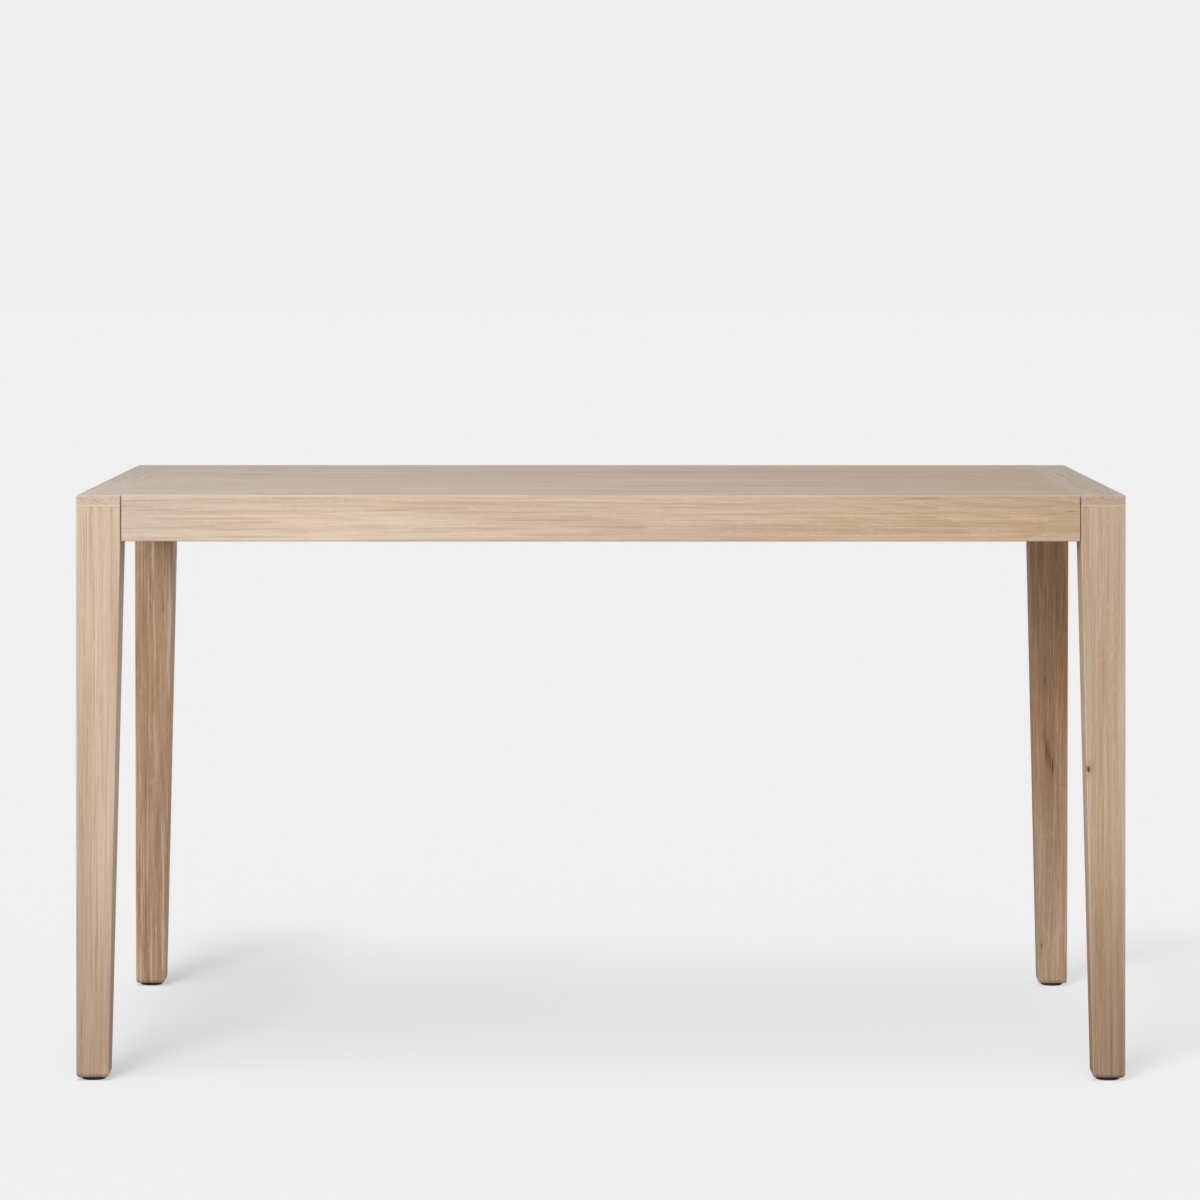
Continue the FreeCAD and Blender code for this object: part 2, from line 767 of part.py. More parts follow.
def make_glide_stem():
    """The steel stem: a collar held in the base, a plain shank and a hexagon key socket."""
    body = at_foot("front_left_glide_stem")
    radius, collar, bevel = s["bolt_radius"] - gap, s["collar_radius"], s["stem_bevel"]
    stem_top = collar_low + s["stem_length"]
    corners = [
        (0, collar_low),
        (collar, collar_low),
        (collar, collar_high),
        (radius, collar_high),
        (radius, stem_top - bevel),
        (radius - bevel, stem_top),
        (0, stem_top),
    ]
    turn(body, corners)
    socket_end = collar_low + s["stem_socket_depth"]
    carve(body, "z", hexagon(s["stem_socket_width"]), collar_low, socket_end)
    return body


def check_and_write():
    """Stops at any failed object or bad shape, then writes each sub-part's file."""
    doc.recompute()
    for item in doc.Objects:
        if "Invalid" in item.State or "Error" in item.State:
            raise ValueError(f"{item.Label} failed: {item.State}")
    for item, solids in parts:
        shape = item.Shape
        if shape.isNull() or not shape.isValid() or len(shape.Solids) != solids:
            raise ValueError(f"{item.Label} is not {solids} sound solids")
        if min(solid.Volume for solid in shape.Solids) <= 0:
            raise ValueError(f"{item.Label} is inside out")
    os.makedirs("parts", exist_ok=True)
    for item, _ in parts:
        item.Shape.exportStep(f"parts/{item.Label}.step")


four_corners(make_leg(), "leg")
left_and_right(make_end_beam(), "end_beam")
left_and_right(make_end_cap(), "end_cap")
front_and_back(make_apron(), "apron")
boards = [keep(make_top_board(number)) for number in range(SIZES["board_count"] // 2)]
for number, board in enumerate(boards):
    mirrored(board, f"top_board_{SIZES['board_count'] - number}", "y")
left_and_right(make_cross_rail(), "cross_rail")
left_and_right(make_batten(), "batten")
four_corners(make_brace(), "corner_brace")
make_tenons()
make_dowels()
make_frame_bolts()
make_screws()
four_corners(make_glide_insert(), "glide_insert")
four_corners(make_glide_base(), "glide_base")
four_corners(make_glide_stem(), "glide_stem")
check_and_write()
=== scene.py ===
"""A communion table in limed oak, on a plain pale studio floor.

Metres. +Z is up, +X runs along the table and its front faces -Y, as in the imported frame.
"""

import json
import math

import bmesh
import bpy
from mathutils import Matrix, Vector

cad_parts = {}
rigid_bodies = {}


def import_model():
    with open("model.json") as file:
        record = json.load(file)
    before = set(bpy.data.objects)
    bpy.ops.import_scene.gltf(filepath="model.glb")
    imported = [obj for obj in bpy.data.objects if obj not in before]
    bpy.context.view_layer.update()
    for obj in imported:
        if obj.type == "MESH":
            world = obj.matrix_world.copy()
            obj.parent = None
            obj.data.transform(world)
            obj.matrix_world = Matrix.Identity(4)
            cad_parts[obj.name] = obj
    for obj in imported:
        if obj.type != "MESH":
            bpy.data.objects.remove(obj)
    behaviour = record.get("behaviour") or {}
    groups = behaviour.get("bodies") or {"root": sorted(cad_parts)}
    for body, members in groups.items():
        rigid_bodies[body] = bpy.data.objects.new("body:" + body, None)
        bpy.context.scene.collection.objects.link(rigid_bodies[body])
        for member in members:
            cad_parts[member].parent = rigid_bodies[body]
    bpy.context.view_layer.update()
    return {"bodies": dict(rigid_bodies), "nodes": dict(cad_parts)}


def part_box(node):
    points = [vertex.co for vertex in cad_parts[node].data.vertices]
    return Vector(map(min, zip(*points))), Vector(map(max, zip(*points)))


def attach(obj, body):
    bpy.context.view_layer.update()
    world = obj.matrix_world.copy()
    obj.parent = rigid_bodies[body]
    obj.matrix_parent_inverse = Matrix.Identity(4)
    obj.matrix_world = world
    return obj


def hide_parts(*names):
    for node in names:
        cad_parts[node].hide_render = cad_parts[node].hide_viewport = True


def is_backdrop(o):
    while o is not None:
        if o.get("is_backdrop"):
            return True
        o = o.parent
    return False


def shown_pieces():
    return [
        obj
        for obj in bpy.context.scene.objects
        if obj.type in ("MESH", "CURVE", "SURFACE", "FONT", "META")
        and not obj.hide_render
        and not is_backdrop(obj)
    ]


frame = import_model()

MM = 0.001
CORNERS = ("front_left", "front_right", "back_left", "back_right")
BOARDS = 6
FOOT_ROUND = 5 * MM  # the height of a leg's rounding at the foot
GROOVE_SHADE = 1.1 * MM  # painted shade: how much of the groove at each end of an apron is painted dark
ARRIS = 0.6 * MM

# An M8 x 1.25 thread, cut a little small so that it clears its insert.
CREST, THREAD_DEPTH, PITCH = 3.95 * MM, 0.65 * MM, 1.25 * MM


# Node trees


class Graph:
    """Adds nodes to a tree. A value is a socket, a number or a tuple."""

    def __init__(self, tree):
        self.tree = tree

    def node(self, kind, **settings):
        made = self.tree.nodes.new(kind)
        for name, value in settings.items():
            setattr(made, name, value)
        return made

    def feed(self, socket, value):
        if isinstance(value, bpy.types.NodeSocket):
            self.tree.links.new(value, socket)
        else:
            socket.default_value = value

    def math(self, operation, *values):
        made = self.node("ShaderNodeMath", operation=operation)
        for socket, value in zip(made.inputs, values):
            self.feed(socket, value)
        return made.outputs[0]

    def vector(self, operation, *values):
        made = self.node("ShaderNodeVectorMath", operation=operation)
        for socket, value in zip(made.inputs, values):
            self.feed(socket, value)
        return made.outputs["Value" if operation in ("DOT_PRODUCT", "LENGTH") else "Vector"]

    def join(self, *values):
        made = self.node("ShaderNodeCombineXYZ")
        for socket, value in zip(made.inputs, values):
            self.feed(socket, value)
        return made.outputs[0]

    def split(self, vector):
        made = self.node("ShaderNodeSeparateXYZ")
        self.feed(made.inputs[0], vector)
        return list(made.outputs)

    def noise(self, place, stretch, detail=2, roughness=0.5, distortion=0):
        """Smooth noise from 0 to 1, with stretch cycles a metre along each axis."""
        made = self.node("ShaderNodeTexNoise")
        self.feed(made.inputs["Vector"], self.vector("MULTIPLY", place, stretch))
        for name, value in (("Scale", 1), ("Detail", detail), ("Roughness", roughness)):
            self.feed(made.inputs[name], value)
        self.feed(made.inputs["Distortion"], distortion)
        return made.outputs["Fac"]

    def rise(self, value, start, end):
        """0 at start and 1 at end, smooth between. Start may be the larger."""
        made = self.node("ShaderNodeMapRange", interpolation_type="SMOOTHSTEP")
        for name, number in (("Value", value), ("From Min", start), ("From Max", end)):
            self.feed(made.inputs[name], number)
        return made.outputs["Result"]

    def ramp(self, value, stops):
        made = self.node("ShaderNodeValToRGB")
        elements = made.color_ramp.elements
        while len(elements) < len(stops):
            elements.new(0.5)
        for element, (position, level) in zip(elements, stops):
            element.position = position
            element.color = (level, level, level, 1)
        self.feed(made.inputs[0], value)
        return made.outputs["Color"]

    def mix(self, factor, first, second, mode="MIX"):
        made = self.node("ShaderNodeMix", data_type="RGBA", blend_type=mode)
        for number, value in ((0, factor), (6, first), (7, second)):
            self.feed(made.inputs[number], value)
        return made.outputs[2]


def srgb(red, green, blue):
    """A colour from 0-255 display values, as linear light."""
    linear = []
    for value in (red, green, blue):
        value /= 255
        linear.append(value / 12.92 if value <= 0.04045 else ((value + 0.055) / 1.055) ** 2.4)
    return (*linear, 1)


# Oak

PALE = srgb(226, 207, 184)
WARM = srgb(206, 176, 141)
ROSE = srgb(207, 190, 176)
LATEWOOD = srgb(184, 148, 118)
FIBRE = srgb(163, 131, 102)
LIME = srgb(238, 225, 210)
RAY = srgb(232, 214, 192)
END_GRAIN = srgb(211, 187, 169)
PORE = srgb(132, 99, 84)
KNOT_AND_GROOVE_SHADE = srgb(72, 48, 36)
# Knots are this dark brown, and so is the painted shade in the grooves at an apron's ends.
STAINED = srgb(176, 122, 80)
WORN = srgb(236, 216, 194)
# The red of deepened wood, which on the back legs is painted shade.
SHADE_AND_DEPTH_RED = (1, 0.9, 0.87, 1)

OAK_INPUTS = {
    "Place": "NodeSocketVector",
    "Pith": "NodeSocketVector",
    "Drift": "NodeSocketVector",
    "Seed": "NodeSocketVector",
    "Ring": "NodeSocketFloat",
    "Wander": "NodeSocketFloat",
    "Warmth": "NodeSocketFloat",
    "Stain": "NodeSocketFloat",
    "Depth": "NodeSocketFloat",
    "Dim": "NodeSocketFloat",
    "Rose": "NodeSocketFloat",
    "Figure": "NodeSocketFloat",
    "Streak": "NodeSocketFloat",
    "End": "NodeSocketFloat",
    "Edge": "NodeSocketFloat",
    "Mark": "NodeSocketFloat",
    "Bend": "NodeSocketFloat",
}


def make_oak_group():
    """Limed oak as a solid: growth rings about a pith, fibres, pores, rays and lime.

    Place is (along the grain, across, up) in metres. Pith is where the middle of the tree is,
    and Drift how it moves for each metre along.
    """
    tree = bpy.data.node_groups.new("limed_oak", "ShaderNodeTree")
    for name, kind in OAK_INPUTS.items():
        tree.interface.new_socket(name, in_out="INPUT", socket_type=kind)
    for name, kind in (("Color", "Color"), ("Roughness", "Float"), ("Height", "Float")):
        tree.interface.new_socket(name, in_out="OUTPUT", socket_type=f"NodeSocket{kind}")
    g = Graph(tree)
    given = g.node("NodeGroupInput").outputs
    along, across, up = g.split(given["Place"])
    seeded = g.vector("ADD", given["Place"], given["Seed"])

    # Distance from the pith, which wanders slowly along the tree.
    drifted = g.vector("MULTIPLY", given["Drift"], g.join(along, along, along))
    pith = g.vector("ADD", given["Pith"], drifted)
    _, pith_across, pith_up = g.split(pith)
    sway = g.noise(seeded, (1.1, 8, 8), detail=1)
    swell = g.noise(g.vector("ADD", seeded, (3.7, 1.3, 8.1)), (2.3, 16, 16), detail=2)
    side = g.math("SUBTRACT", across, pith_across)
    rise = g.math("SUBTRACT", up, pith_up)
    side = g.math("MULTIPLY_ADD", sway, g.math("MULTIPLY", given["Wander"], 0.024), side)
    rise = g.math("MULTIPLY_ADD", swell, g.math("MULTIPLY", given["Wander"], 0.014), rise)
    radius = g.vector("LENGTH", g.join(side, rise, 0))
    radius = g.math("ADD", radius, given["Bend"])
    turn = g.math("ARCTAN2", rise, side)

    # Rings of uneven width and strength, each ending in a sharp dark line.
    count = g.math("DIVIDE", radius, given["Ring"])
    uneven = g.noise(g.join(count, 0, 0), (0.31, 1, 1), detail=1)
    count = g.math("MULTIPLY_ADD", uneven, 2.2, count)
    phase = g.math("FRACT", count)
    strength = g.node("ShaderNodeTexWhiteNoise", noise_dimensions="1D")
    g.feed(strength.inputs["W"], g.math("FLOOR", count))
    late = g.ramp(phase, ((0, 0.3), (0.15, 0.1), (0.55, 0.2), (0.82, 0.75), (0.94, 1), (1, 0.3)))
    late = g.math("MULTIPLY", late, g.math("MULTIPLY_ADD", strength.outputs["Value"], 0.8, 0.35))
    late = g.math("MULTIPLY", late, given["Figure"])

    # Fibres and pores run along the grain. Rays are thin sheets out from the pith.
    fibre = g.noise(seeded, (8, 560, 560), detail=3, roughness=0.62)
    coarse = g.noise(seeded, (3, 250, 250), detail=2, roughness=0.6)
    band = g.noise(seeded, (1.8, 75, 75), detail=2, roughness=0.6)
    pore = g.rise(g.noise(seeded, (75, 1500, 1500), detail=1), 0.54, 0.7)
    pore = g.math("MULTIPLY", pore, g.rise(phase, 0.75, 0.2))
    sheets = g.join(along, g.math("MULTIPLY", turn, 0.12), radius)
    ray = g.rise(g.noise(sheets, (42, 520, 60), detail=1), 0.6, 0.72)
    speckle = g.rise(g.noise(seeded, (330, 350, 350), detail=2, roughness=0.7), 0.5, 0.66)

    # Colour, from the broadest variation to the finest.
    tone = g.noise(seeded, (1.4, 22, 22), detail=3, roughness=0.55)
    tone = g.math("ADD", tone, given["Warmth"])
    hue = g.noise(g.vector("ADD", seeded, (9.2, 4.4, 2.6)), (1.9, 30, 30), detail=2)
    colour = g.mix(g.rise(tone, 0.3, 0.72), PALE, WARM)
    hue = g.rise(hue, 0.36, 0.62)
    even = g.math("ADD", hue, g.math("SUBTRACT", given["Rose"], 1))
    rose = g.math("MAXIMUM", g.math("MULTIPLY", hue, given["Rose"]), even)
    colour = g.mix(rose, colour, ROSE)
    colour = g.mix(g.math("MULTIPLY", late, 0.4), colour, LATEWOOD)
    bands = g.math("MULTIPLY", g.rise(band, 0.48, 0.7), given["Streak"])
    colour = g.mix(g.math("MULTIPLY", bands, 0.3), colour, FIBRE)
    lines = g.math("MULTIPLY", g.rise(coarse, 0.5, 0.7), given["Streak"])
    colour = g.mix(g.math("MULTIPLY", lines, 0.5), colour, FIBRE)
    fine = g.math("MULTIPLY", g.rise(fibre, 0.48, 0.68), 0.4)
    colour = g.mix(fine, colour, FIBRE)
    pale_lines = g.math("MULTIPLY", g.rise(coarse, 0.47, 0.32), given["Streak"])
    colour = g.mix(g.math("MULTIPLY", pale_lines, 0.55), colour, LIME)
    colour = g.mix(g.math("MULTIPLY", ray, 0.22), colour, RAY)
    colour = g.mix(g.math("MULTIPLY", pore, 0.45), colour, LIME)
    colour = g.mix(g.math("MULTIPLY", given["End"], 0.7), colour, END_GRAIN)
    spots = g.math("MAXIMUM", g.math("MULTIPLY", late, 0.65), g.math("MULTIPLY", speckle, 0.42))
    colour = g.mix(g.math("MULTIPLY", given["End"], spots), colour, PORE)
    colour = g.mix(g.math("MULTIPLY", given["Stain"], 0.35), colour, STAINED)
    # Depth deepens the colour and makes it redder. On the back legs it is painted shade, standing
    # for the shade under the table top.
    deeper = g.node("ShaderNodeGamma")
    g.feed(deeper.inputs["Color"], colour)
    g.feed(deeper.inputs["Gamma"], given["Depth"])
    red = g.math("MULTIPLY", g.math("SUBTRACT", given["Depth"], 1), 2)
    colour = g.mix(red, deeper.outputs["Color"], SHADE_AND_DEPTH_RED, "MULTIPLY")
    colour = g.mix(given["Dim"], colour, (0, 0, 0, 1))
    # Knots and flecks go dark here, and so does the painted shade in the grooves by the legs.
    colour = g.mix(given["Mark"], colour, KNOT_AND_GROOVE_SHADE)
    ragged = g.math("MULTIPLY_ADD", fibre, 0.0022, 0.0004)
    worn = g.rise(given["Edge"], ragged, 0)
    colour = g.mix(g.math("MULTIPLY", worn, 0.4), colour, WORN)

    rough = g.math("MULTIPLY_ADD", fibre, 0.16, 0.52)
    rough = g.math("MULTIPLY_ADD", late, -0.08, rough)
    rough = g.math("MULTIPLY_ADD", worn, -0.08, rough)
    rough = g.math("MULTIPLY_ADD", given["End"], 0.12, rough)
    height = g.math("MULTIPLY", pore, -0.14 * MM)
    height = g.math("MULTIPLY_ADD", late, 0.07 * MM, height)
    height = g.math("MULTIPLY_ADD", fibre, 0.16 * MM, height)
    height = g.math("MULTIPLY_ADD", given["Mark"], -0.2 * MM, height)

    result = g.node("NodeGroupOutput").inputs
    for name, value in (("Color", colour), ("Roughness", rough), ("Height", height)):
        g.feed(result[name], value)
    return tree


# A knot, dark flecks and a scar: the middle and half sizes of each, in metres, and its depth.
KNOT_IN_LEG = (((0.6365, -0.38, 0.408), (0.0032, 0.008, 0.0050), 0.95),)
FLECK = (((0.612, -0.38, 0.744), (0.006, 0.006, 0.0010), 0.42),)
PITH_FLECKS = (
    ((0.6500, 0.331, 0.3690), (0.0008, 0.01, 0.019), 0.6),
    ((0.6532, 0.331, 0.3520), (0.0011, 0.01, 0.018), 0.85),
    ((0.6558, 0.331, 0.3430), (0.0009, 0.01, 0.020), 0.9),
    ((0.6588, 0.331, 0.3350), (0.0009, 0.01, 0.018), 0.8),
    ((0.6626, 0.332, 0.3250), (0.0013, 0.01, 0.015), 0.9),
    ((0.6510, 0.325, 0.4500), (0.0014, 0.01, 0.009), 0.45),
    ((0.6470, 0.337, 0.0600), (0.0009, 0.01, 0.005), 0.8),
)


def edge_distance(g, place, low, high):
    """How far a point on a box's surface is from the nearest arris."""
    gaps = []
    for value, near, far in zip(place, low, high):
        to_near = g.math("ABSOLUTE", g.math("SUBTRACT", value, near))
        to_far = g.math("ABSOLUTE", g.math("SUBTRACT", far, value))
        gaps.append(g.math("MINIMUM", to_near, to_far))
    first, second, third = gaps
    smaller, larger = g.math("MINIMUM", first, second), g.math("MAXIMUM", first, second)
    return g.math("MAXIMUM", smaller, g.math("MINIMUM", larger, third))


def tapered_box(g, node, z):
    """A leg's low and high corners at each height, as sockets or numbers."""
    low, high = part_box(node)
    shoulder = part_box("front_apron")[0].z
    vertices = frame["nodes"][node].data.vertices
    foot = [v.co for v in vertices if v.co.z < low.z + FOOT_ROUND + MM]
    taper = shoulder - low.z - FOOT_ROUND
    drop = g.math("DIVIDE", g.math("SUBTRACT", shoulder, z), taper)
    drop = g.math("MINIMUM", g.math("MAXIMUM", drop, 0), 1)
    lows, highs = list(low), list(high)
    for axis in (0, 1):
        near, far = min(co[axis] for co in foot), max(co[axis] for co in foot)
        if (low[axis] + high[axis]) < 0:
            highs[axis] = g.math("MULTIPLY_ADD", drop, far - high[axis], high[axis])
        else:
            lows[axis] = g.math("MULTIPLY_ADD", drop, near - low[axis], low[axis])
    return lows, highs


def add_marks(g, place, marks):
    """Knots and dark flecks. Each mark is its (middle, half sizes, depth of colour).

    Returns how dark the wood is there, how far its rings bend round the mark, and how stained
    it is about it.
    """
    shade, bend, stain = 0, 0, 0
    ragged = g.noise(g.join(*place), (260, 260, 260), detail=2)
    for middle, size, strength in marks:
        off = [g.math("DIVIDE", g.math("SUBTRACT", value, centre), reach)
               for value, centre, reach in zip(place, middle, size)]
        far = g.math("MULTIPLY_ADD", ragged, 0.9, g.vector("LENGTH", g.join(*off)))
        spot = g.math("MULTIPLY", g.rise(far, 1.6, 0.9), strength)
        shade = g.math("MAXIMUM", spot, shade)
        stain = g.math("MAXIMUM", g.math("MULTIPLY", g.rise(far, 4.5, 1.2), strength), stain)
        bend = g.math("MULTIPLY_ADD", g.rise(far, 4.5, 0.6), min(size) * 1.6, bend)
    return shade, bend, stain


def oak(node, grain, pith, drift=(0, 0), ring=3.6, wander=1, warmth=(0, 0), depth=1, foot=0,
        fade=(0.4, 0), rose=(0.6, 0), figure=(0.8, 0), streak=0.5, marks=(), gap=0,
        tapered=False):
    """Gives a CAD node its own oak, with its grain along x, y or z.

    pith is (across, up) from the piece's middle, in metres, and ring a growth ring's width in
    mm. warmth, rose and figure are each (at the origin, change for each metre along). depth
    deepens and reddens the colour, which on the back legs is painted shade, and foot deepens it
    further towards the floor, between the two heights in fade. gap is how much of each end is
    painted dark, as painted shade in the groove by the leg.
    """
    axes = {"x": (0, 1, 2), "y": (1, 0, 2), "z": (2, 0, 1)}[grain]
    low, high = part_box(node)
    middle = (low + high) / 2
    material = bpy.data.materials.new(f"oak_{node}")
    material.use_nodes = True
    g = Graph(material.node_tree)
    shader = g.tree.nodes["Principled BSDF"]
    coordinates = g.node("ShaderNodeTexCoord")
    place = g.split(coordinates.outputs["Object"])
    facing = g.split(coordinates.outputs["Normal"])[axes[0]]
    along, across, up = [place[axis] for axis in axes]
    lows, highs = tapered_box(g, node, place[2]) if tapered else (low, high)
    shade, bend, stain = add_marks(g, place, marks)
    # Painted shade: the last gap of each end is painted dark, for the shade in the groove by the
    # leg.
    if gap:
        half = (high - low)[axes[0]] / 2
        to_end = g.math("SUBTRACT", half, g.math("ABSOLUTE", along))
        shade = g.math("MAXIMUM", shade, g.math("MULTIPLY", g.rise(to_end, gap, gap / 2), 0.95))
    low_down = g.rise(place[2], *fade)

    wood = g.node("ShaderNodeGroup", node_tree=OAK)
    seed = sum(ord(letter) * (number + 3) for number, letter in enumerate(node)) % 97
    values = {
        "Place": g.join(along, across, up),
        "Pith": (0, middle[axes[1]] + pith[0], middle[axes[2]] + pith[1]),
        "Drift": (0, *drift),
        "Seed": (seed * 1.37, seed * 0.71, seed * 0.43),
        "Ring": ring * MM,
        "Wander": wander,
        "Warmth": g.math("MULTIPLY_ADD", along, warmth[1], warmth[0]),
        "Stain": stain,
        "Depth": g.math("MULTIPLY_ADD", low_down, 0.7 * foot, depth),
        "Dim": g.math("MULTIPLY", low_down, 0.55 * foot),
        "Rose": g.math("MULTIPLY_ADD", along, rose[1], rose[0]),
        "Figure": g.math("MULTIPLY_ADD", along, figure[1], figure[0]),
        "Streak": streak,
        "End": g.rise(g.math("ABSOLUTE", facing), 0.6, 0.95),
        "Edge": edge_distance(g, place, lows, highs),
        "Mark": shade,
        "Bend": bend,
    }
    for name, value in values.items():
        g.feed(wood.inputs[name], value)
    bump = g.node("ShaderNodeBump")
    g.feed(bump.inputs["Strength"], 0.7)
    g.feed(bump.inputs["Distance"], 1)
    g.feed(bump.inputs["Height"], wood.outputs["Height"])
    g.feed(shader.inputs["Base Color"], wood.outputs["Color"])
    g.feed(shader.inputs["Roughness"], wood.outputs["Roughness"])
    g.feed(shader.inputs["Normal"], bump.outputs["Normal"])
    g.feed(shader.inputs["Specular IOR Level"], 0.5)
    paint(node, material)


def paint(node, material):
    """Puts a material in every slot of a CAD node."""
    for slot in frame["nodes"][node].material_slots:
        slot.material = material


def dress_table():
    """Every oak piece. The grain runs along each piece's length."""
    oak("front_apron", "x", (0.11, -0.012), (0.035, 0.02), ring=4.2, warmth=(-0.05, 0.16),
        depth=1.05, rose=(0.6, -0.6), figure=(0.6, 0.3), streak=0.38, marks=FLECK,
        gap=GROOVE_SHADE)
    oak("back_apron", "x", (-0.12, 0.01), (0.02, -0.02), ring=4.0, warmth=(-0.02, -0.1),
        gap=GROOVE_SHADE)
    for number in range(1, BOARDS + 1):
        shift = (number * 37 % 11 - 5) / 100
        oak(f"top_board_{number}", "x", (shift, -0.11 + shift / 2), (0.03, 0.02), ring=4.4,
            warmth=(0.03 * (number % 3) - 0.03, 0.26), depth=1.02, rose=(0.8, -0.5),
            figure=(0.7, 0.3), streak=0.4)
    for side, sign in (("left", -1), ("right", 1)):
        oak(f"{side}_end_cap", "y", (0.012 * sign, -0.075), (0.02, 0.01), ring=3.4, wander=0.5,
            warmth=(-0.16 + 0.08 * sign, 0), depth=1 + 0.04 * sign, rose=(1.65 - 0.1 * sign, 0),
            figure=(0.6, 0), streak=0.25)
        oak(f"{side}_end_beam", "y", (0.09 * sign, 0.01), ring=3.6, warmth=(0.02, 0))
        oak(f"{side}_cross_rail", "y", (0.07, 0.02), ring=3, warmth=(0.14, 0), rose=(0.3, 0))
        oak(f"{side}_batten", "y", (0.01, 0.08), ring=3, warmth=(0.16, 0), rose=(0.3, 0))
    oak("front_left_leg", "z", (0.16, 0.1), (0.01, 0.01), ring=3.2, wander=0.3,
        warmth=(-0.06, 0.05), depth=1.09, foot=0.3, rose=(0.4, 0), figure=(0.5, 0),
        streak=0.36, tapered=True)
    oak("front_right_leg", "z", (-0.17, 0.09), (0.01, 0.01), ring=3, wander=0.3,
        warmth=(0.02, 0.12), depth=1.04, foot=0.52, rose=(0.4, 0), figure=(0.6, 0), streak=0.42,
        marks=KNOT_IN_LEG, tapered=True)
    # The back legs' larger depth is painted shade: their wood is darker and redder to stand for
    # the shade under the table top, from every side. The back right leg's foot, below zero,
    # lightens it towards the floor, so that its painted shade is deepest at the top.
    oak("back_left_leg", "z", (0.15, -0.12), (0.01, 0.02), ring=3.4, wander=0.25,
        warmth=(0.14, 0), depth=1.29, rose=(0.4, 0), figure=(0.8, 0), streak=1.1, tapered=True)
    oak("back_right_leg", "z", (-0.14, -0.12), (0.01, 0.02), ring=3.2, wander=0.3,
        warmth=(0.16, 0), depth=1.42, foot=-0.45, fade=(0.42, 0.14), rose=(0.35, 0),
        figure=(0.8, 0), streak=0.6, marks=PITH_FLECKS, tapered=True)
    for corner in CORNERS:
        oak(f"{corner}_corner_brace", "z", (0.05, 0.05), ring=3, warmth=(0.14, 0), rose=(0.3, 0))


# Beech, steel and nylon

BEECH = (srgb(214, 178, 138), srgb(196, 156, 116))
ZINC = (srgb(196, 198, 200), srgb(160, 164, 170))
NYLON = (srgb(30, 29, 28), srgb(46, 44, 42))


def plain_material(name, colour, other, stretch, roughness, metallic=0.0, bump=0.05):
    """Two close colours in a fine mottle, with roughness and bump to match.

    stretch is in cycles a metre, roughness is its (lowest, highest), and bump is in mm.
    """
    material = bpy.data.materials.new(name)
    material.use_nodes = True
    g = Graph(material.node_tree)
    shader = g.tree.nodes["Principled BSDF"]
    place = g.node("ShaderNodeTexCoord").outputs["Object"]
    mottle = g.noise(place, stretch, detail=3, roughness=0.6)
    broad = g.noise(place, tuple(value / 6 for value in stretch), detail=1)
    mask = g.math("MULTIPLY_ADD", broad, 0.5, g.math("MULTIPLY", mottle, 0.5))
    g.feed(shader.inputs["Base Color"], g.mix(g.rise(mask, 0.36, 0.64), colour, other))
    low, high = roughness
    g.feed(shader.inputs["Roughness"], g.math("MULTIPLY_ADD", mottle, high - low, low))
    g.feed(shader.inputs["Metallic"], metallic)
    bumps = g.node("ShaderNodeBump")
    g.feed(bumps.inputs["Strength"], 0.6)
    g.feed(bumps.inputs["Distance"], 1)
    g.feed(bumps.inputs["Height"], g.math("MULTIPLY", mottle, bump * MM))
    g.feed(shader.inputs["Normal"], bumps.outputs["Normal"])
    return material


# Threaded pieces


def turned(name, rows, segments=48):
    """A closed mesh about Z. A row maps an angle to (radius, height), or is a point's height."""
    points, faces, rings = [], [], []
    for row in rows:
        if callable(row):
            rings.append(list(range(len(points), len(points) + segments)))
            for step in range(segments):
                angle = math.tau * step / segments
                radius, height = row(angle)
                points.append((radius * math.cos(angle), radius * math.sin(angle), height))
        else:
            rings.append([len(points)])
            points.append((0, 0, row))
    for lower, upper in zip(rings, rings[1:]):
        for step in range(segments):
            following = (step + 1) % segments
            if len(lower) == 1:
                faces.append((lower[0], upper[following], upper[step]))
            elif len(upper) == 1:
                faces.append((lower[step], lower[following], upper[0]))
            else:
                faces.append((lower[step], lower[following], upper[following], upper[step]))
    mesh = bpy.data.meshes.new(name)
    mesh.from_pydata(points, [], faces)
    return mesh


def circle(radius, height):
    return lambda angle: (radius, height)


def hexagon(width, height, limit=1.0):
    """A row through a hexagon's sides, cut back to a circle where it is wider than limit."""
    def row(angle):
        off = (angle % (math.pi / 3)) - math.pi / 6
        return min(width / 2 / math.cos(off), limit), height
    return row


def thread(start, end, steps=8):
    """Rows of a right-hand thread from one height to another, fading out at both ends."""
    def row(height):
        def at(angle):
            phase = (height / PITCH - angle / math.tau) % 1
            crest = 1 - abs(2 * phase - 1)
            fade = min(1, (height - start) / PITCH, (end - height) / PITCH)
            return CREST - THREAD_DEPTH * (1 - min(1, crest * 1.25) * fade), height
        return at
    count = round((end - start) / PITCH * steps)
    return [row(start + (end - start) * number / count) for number in range(count + 1)]


def islands(node):
    """The (low, high) corners of each separate solid in a CAD node."""
    mesh = bmesh.new()
    mesh.from_mesh(frame["nodes"][node].data)
    bmesh.ops.remove_doubles(mesh, verts=mesh.verts, dist=0.001 * MM)
    left, found = set(mesh.verts), []
    while left:
        solid, queue = set(), [left.pop()]
        while queue:
            vertex = queue.pop()
            solid.add(vertex)
            for edge in vertex.link_edges:
                other = edge.other_vert(vertex)
                if other in left:
                    left.remove(other)
                    queue.append(other)
        corners = [vertex.co.copy() for vertex in solid]
        low = Vector(min(co[axis] for co in corners) for axis in range(3))
        high = Vector(max(co[axis] for co in corners) for axis in range(3))
        found.append((low, high))
    mesh.free()
    return sorted(found, key=lambda pair: tuple(pair[0]))


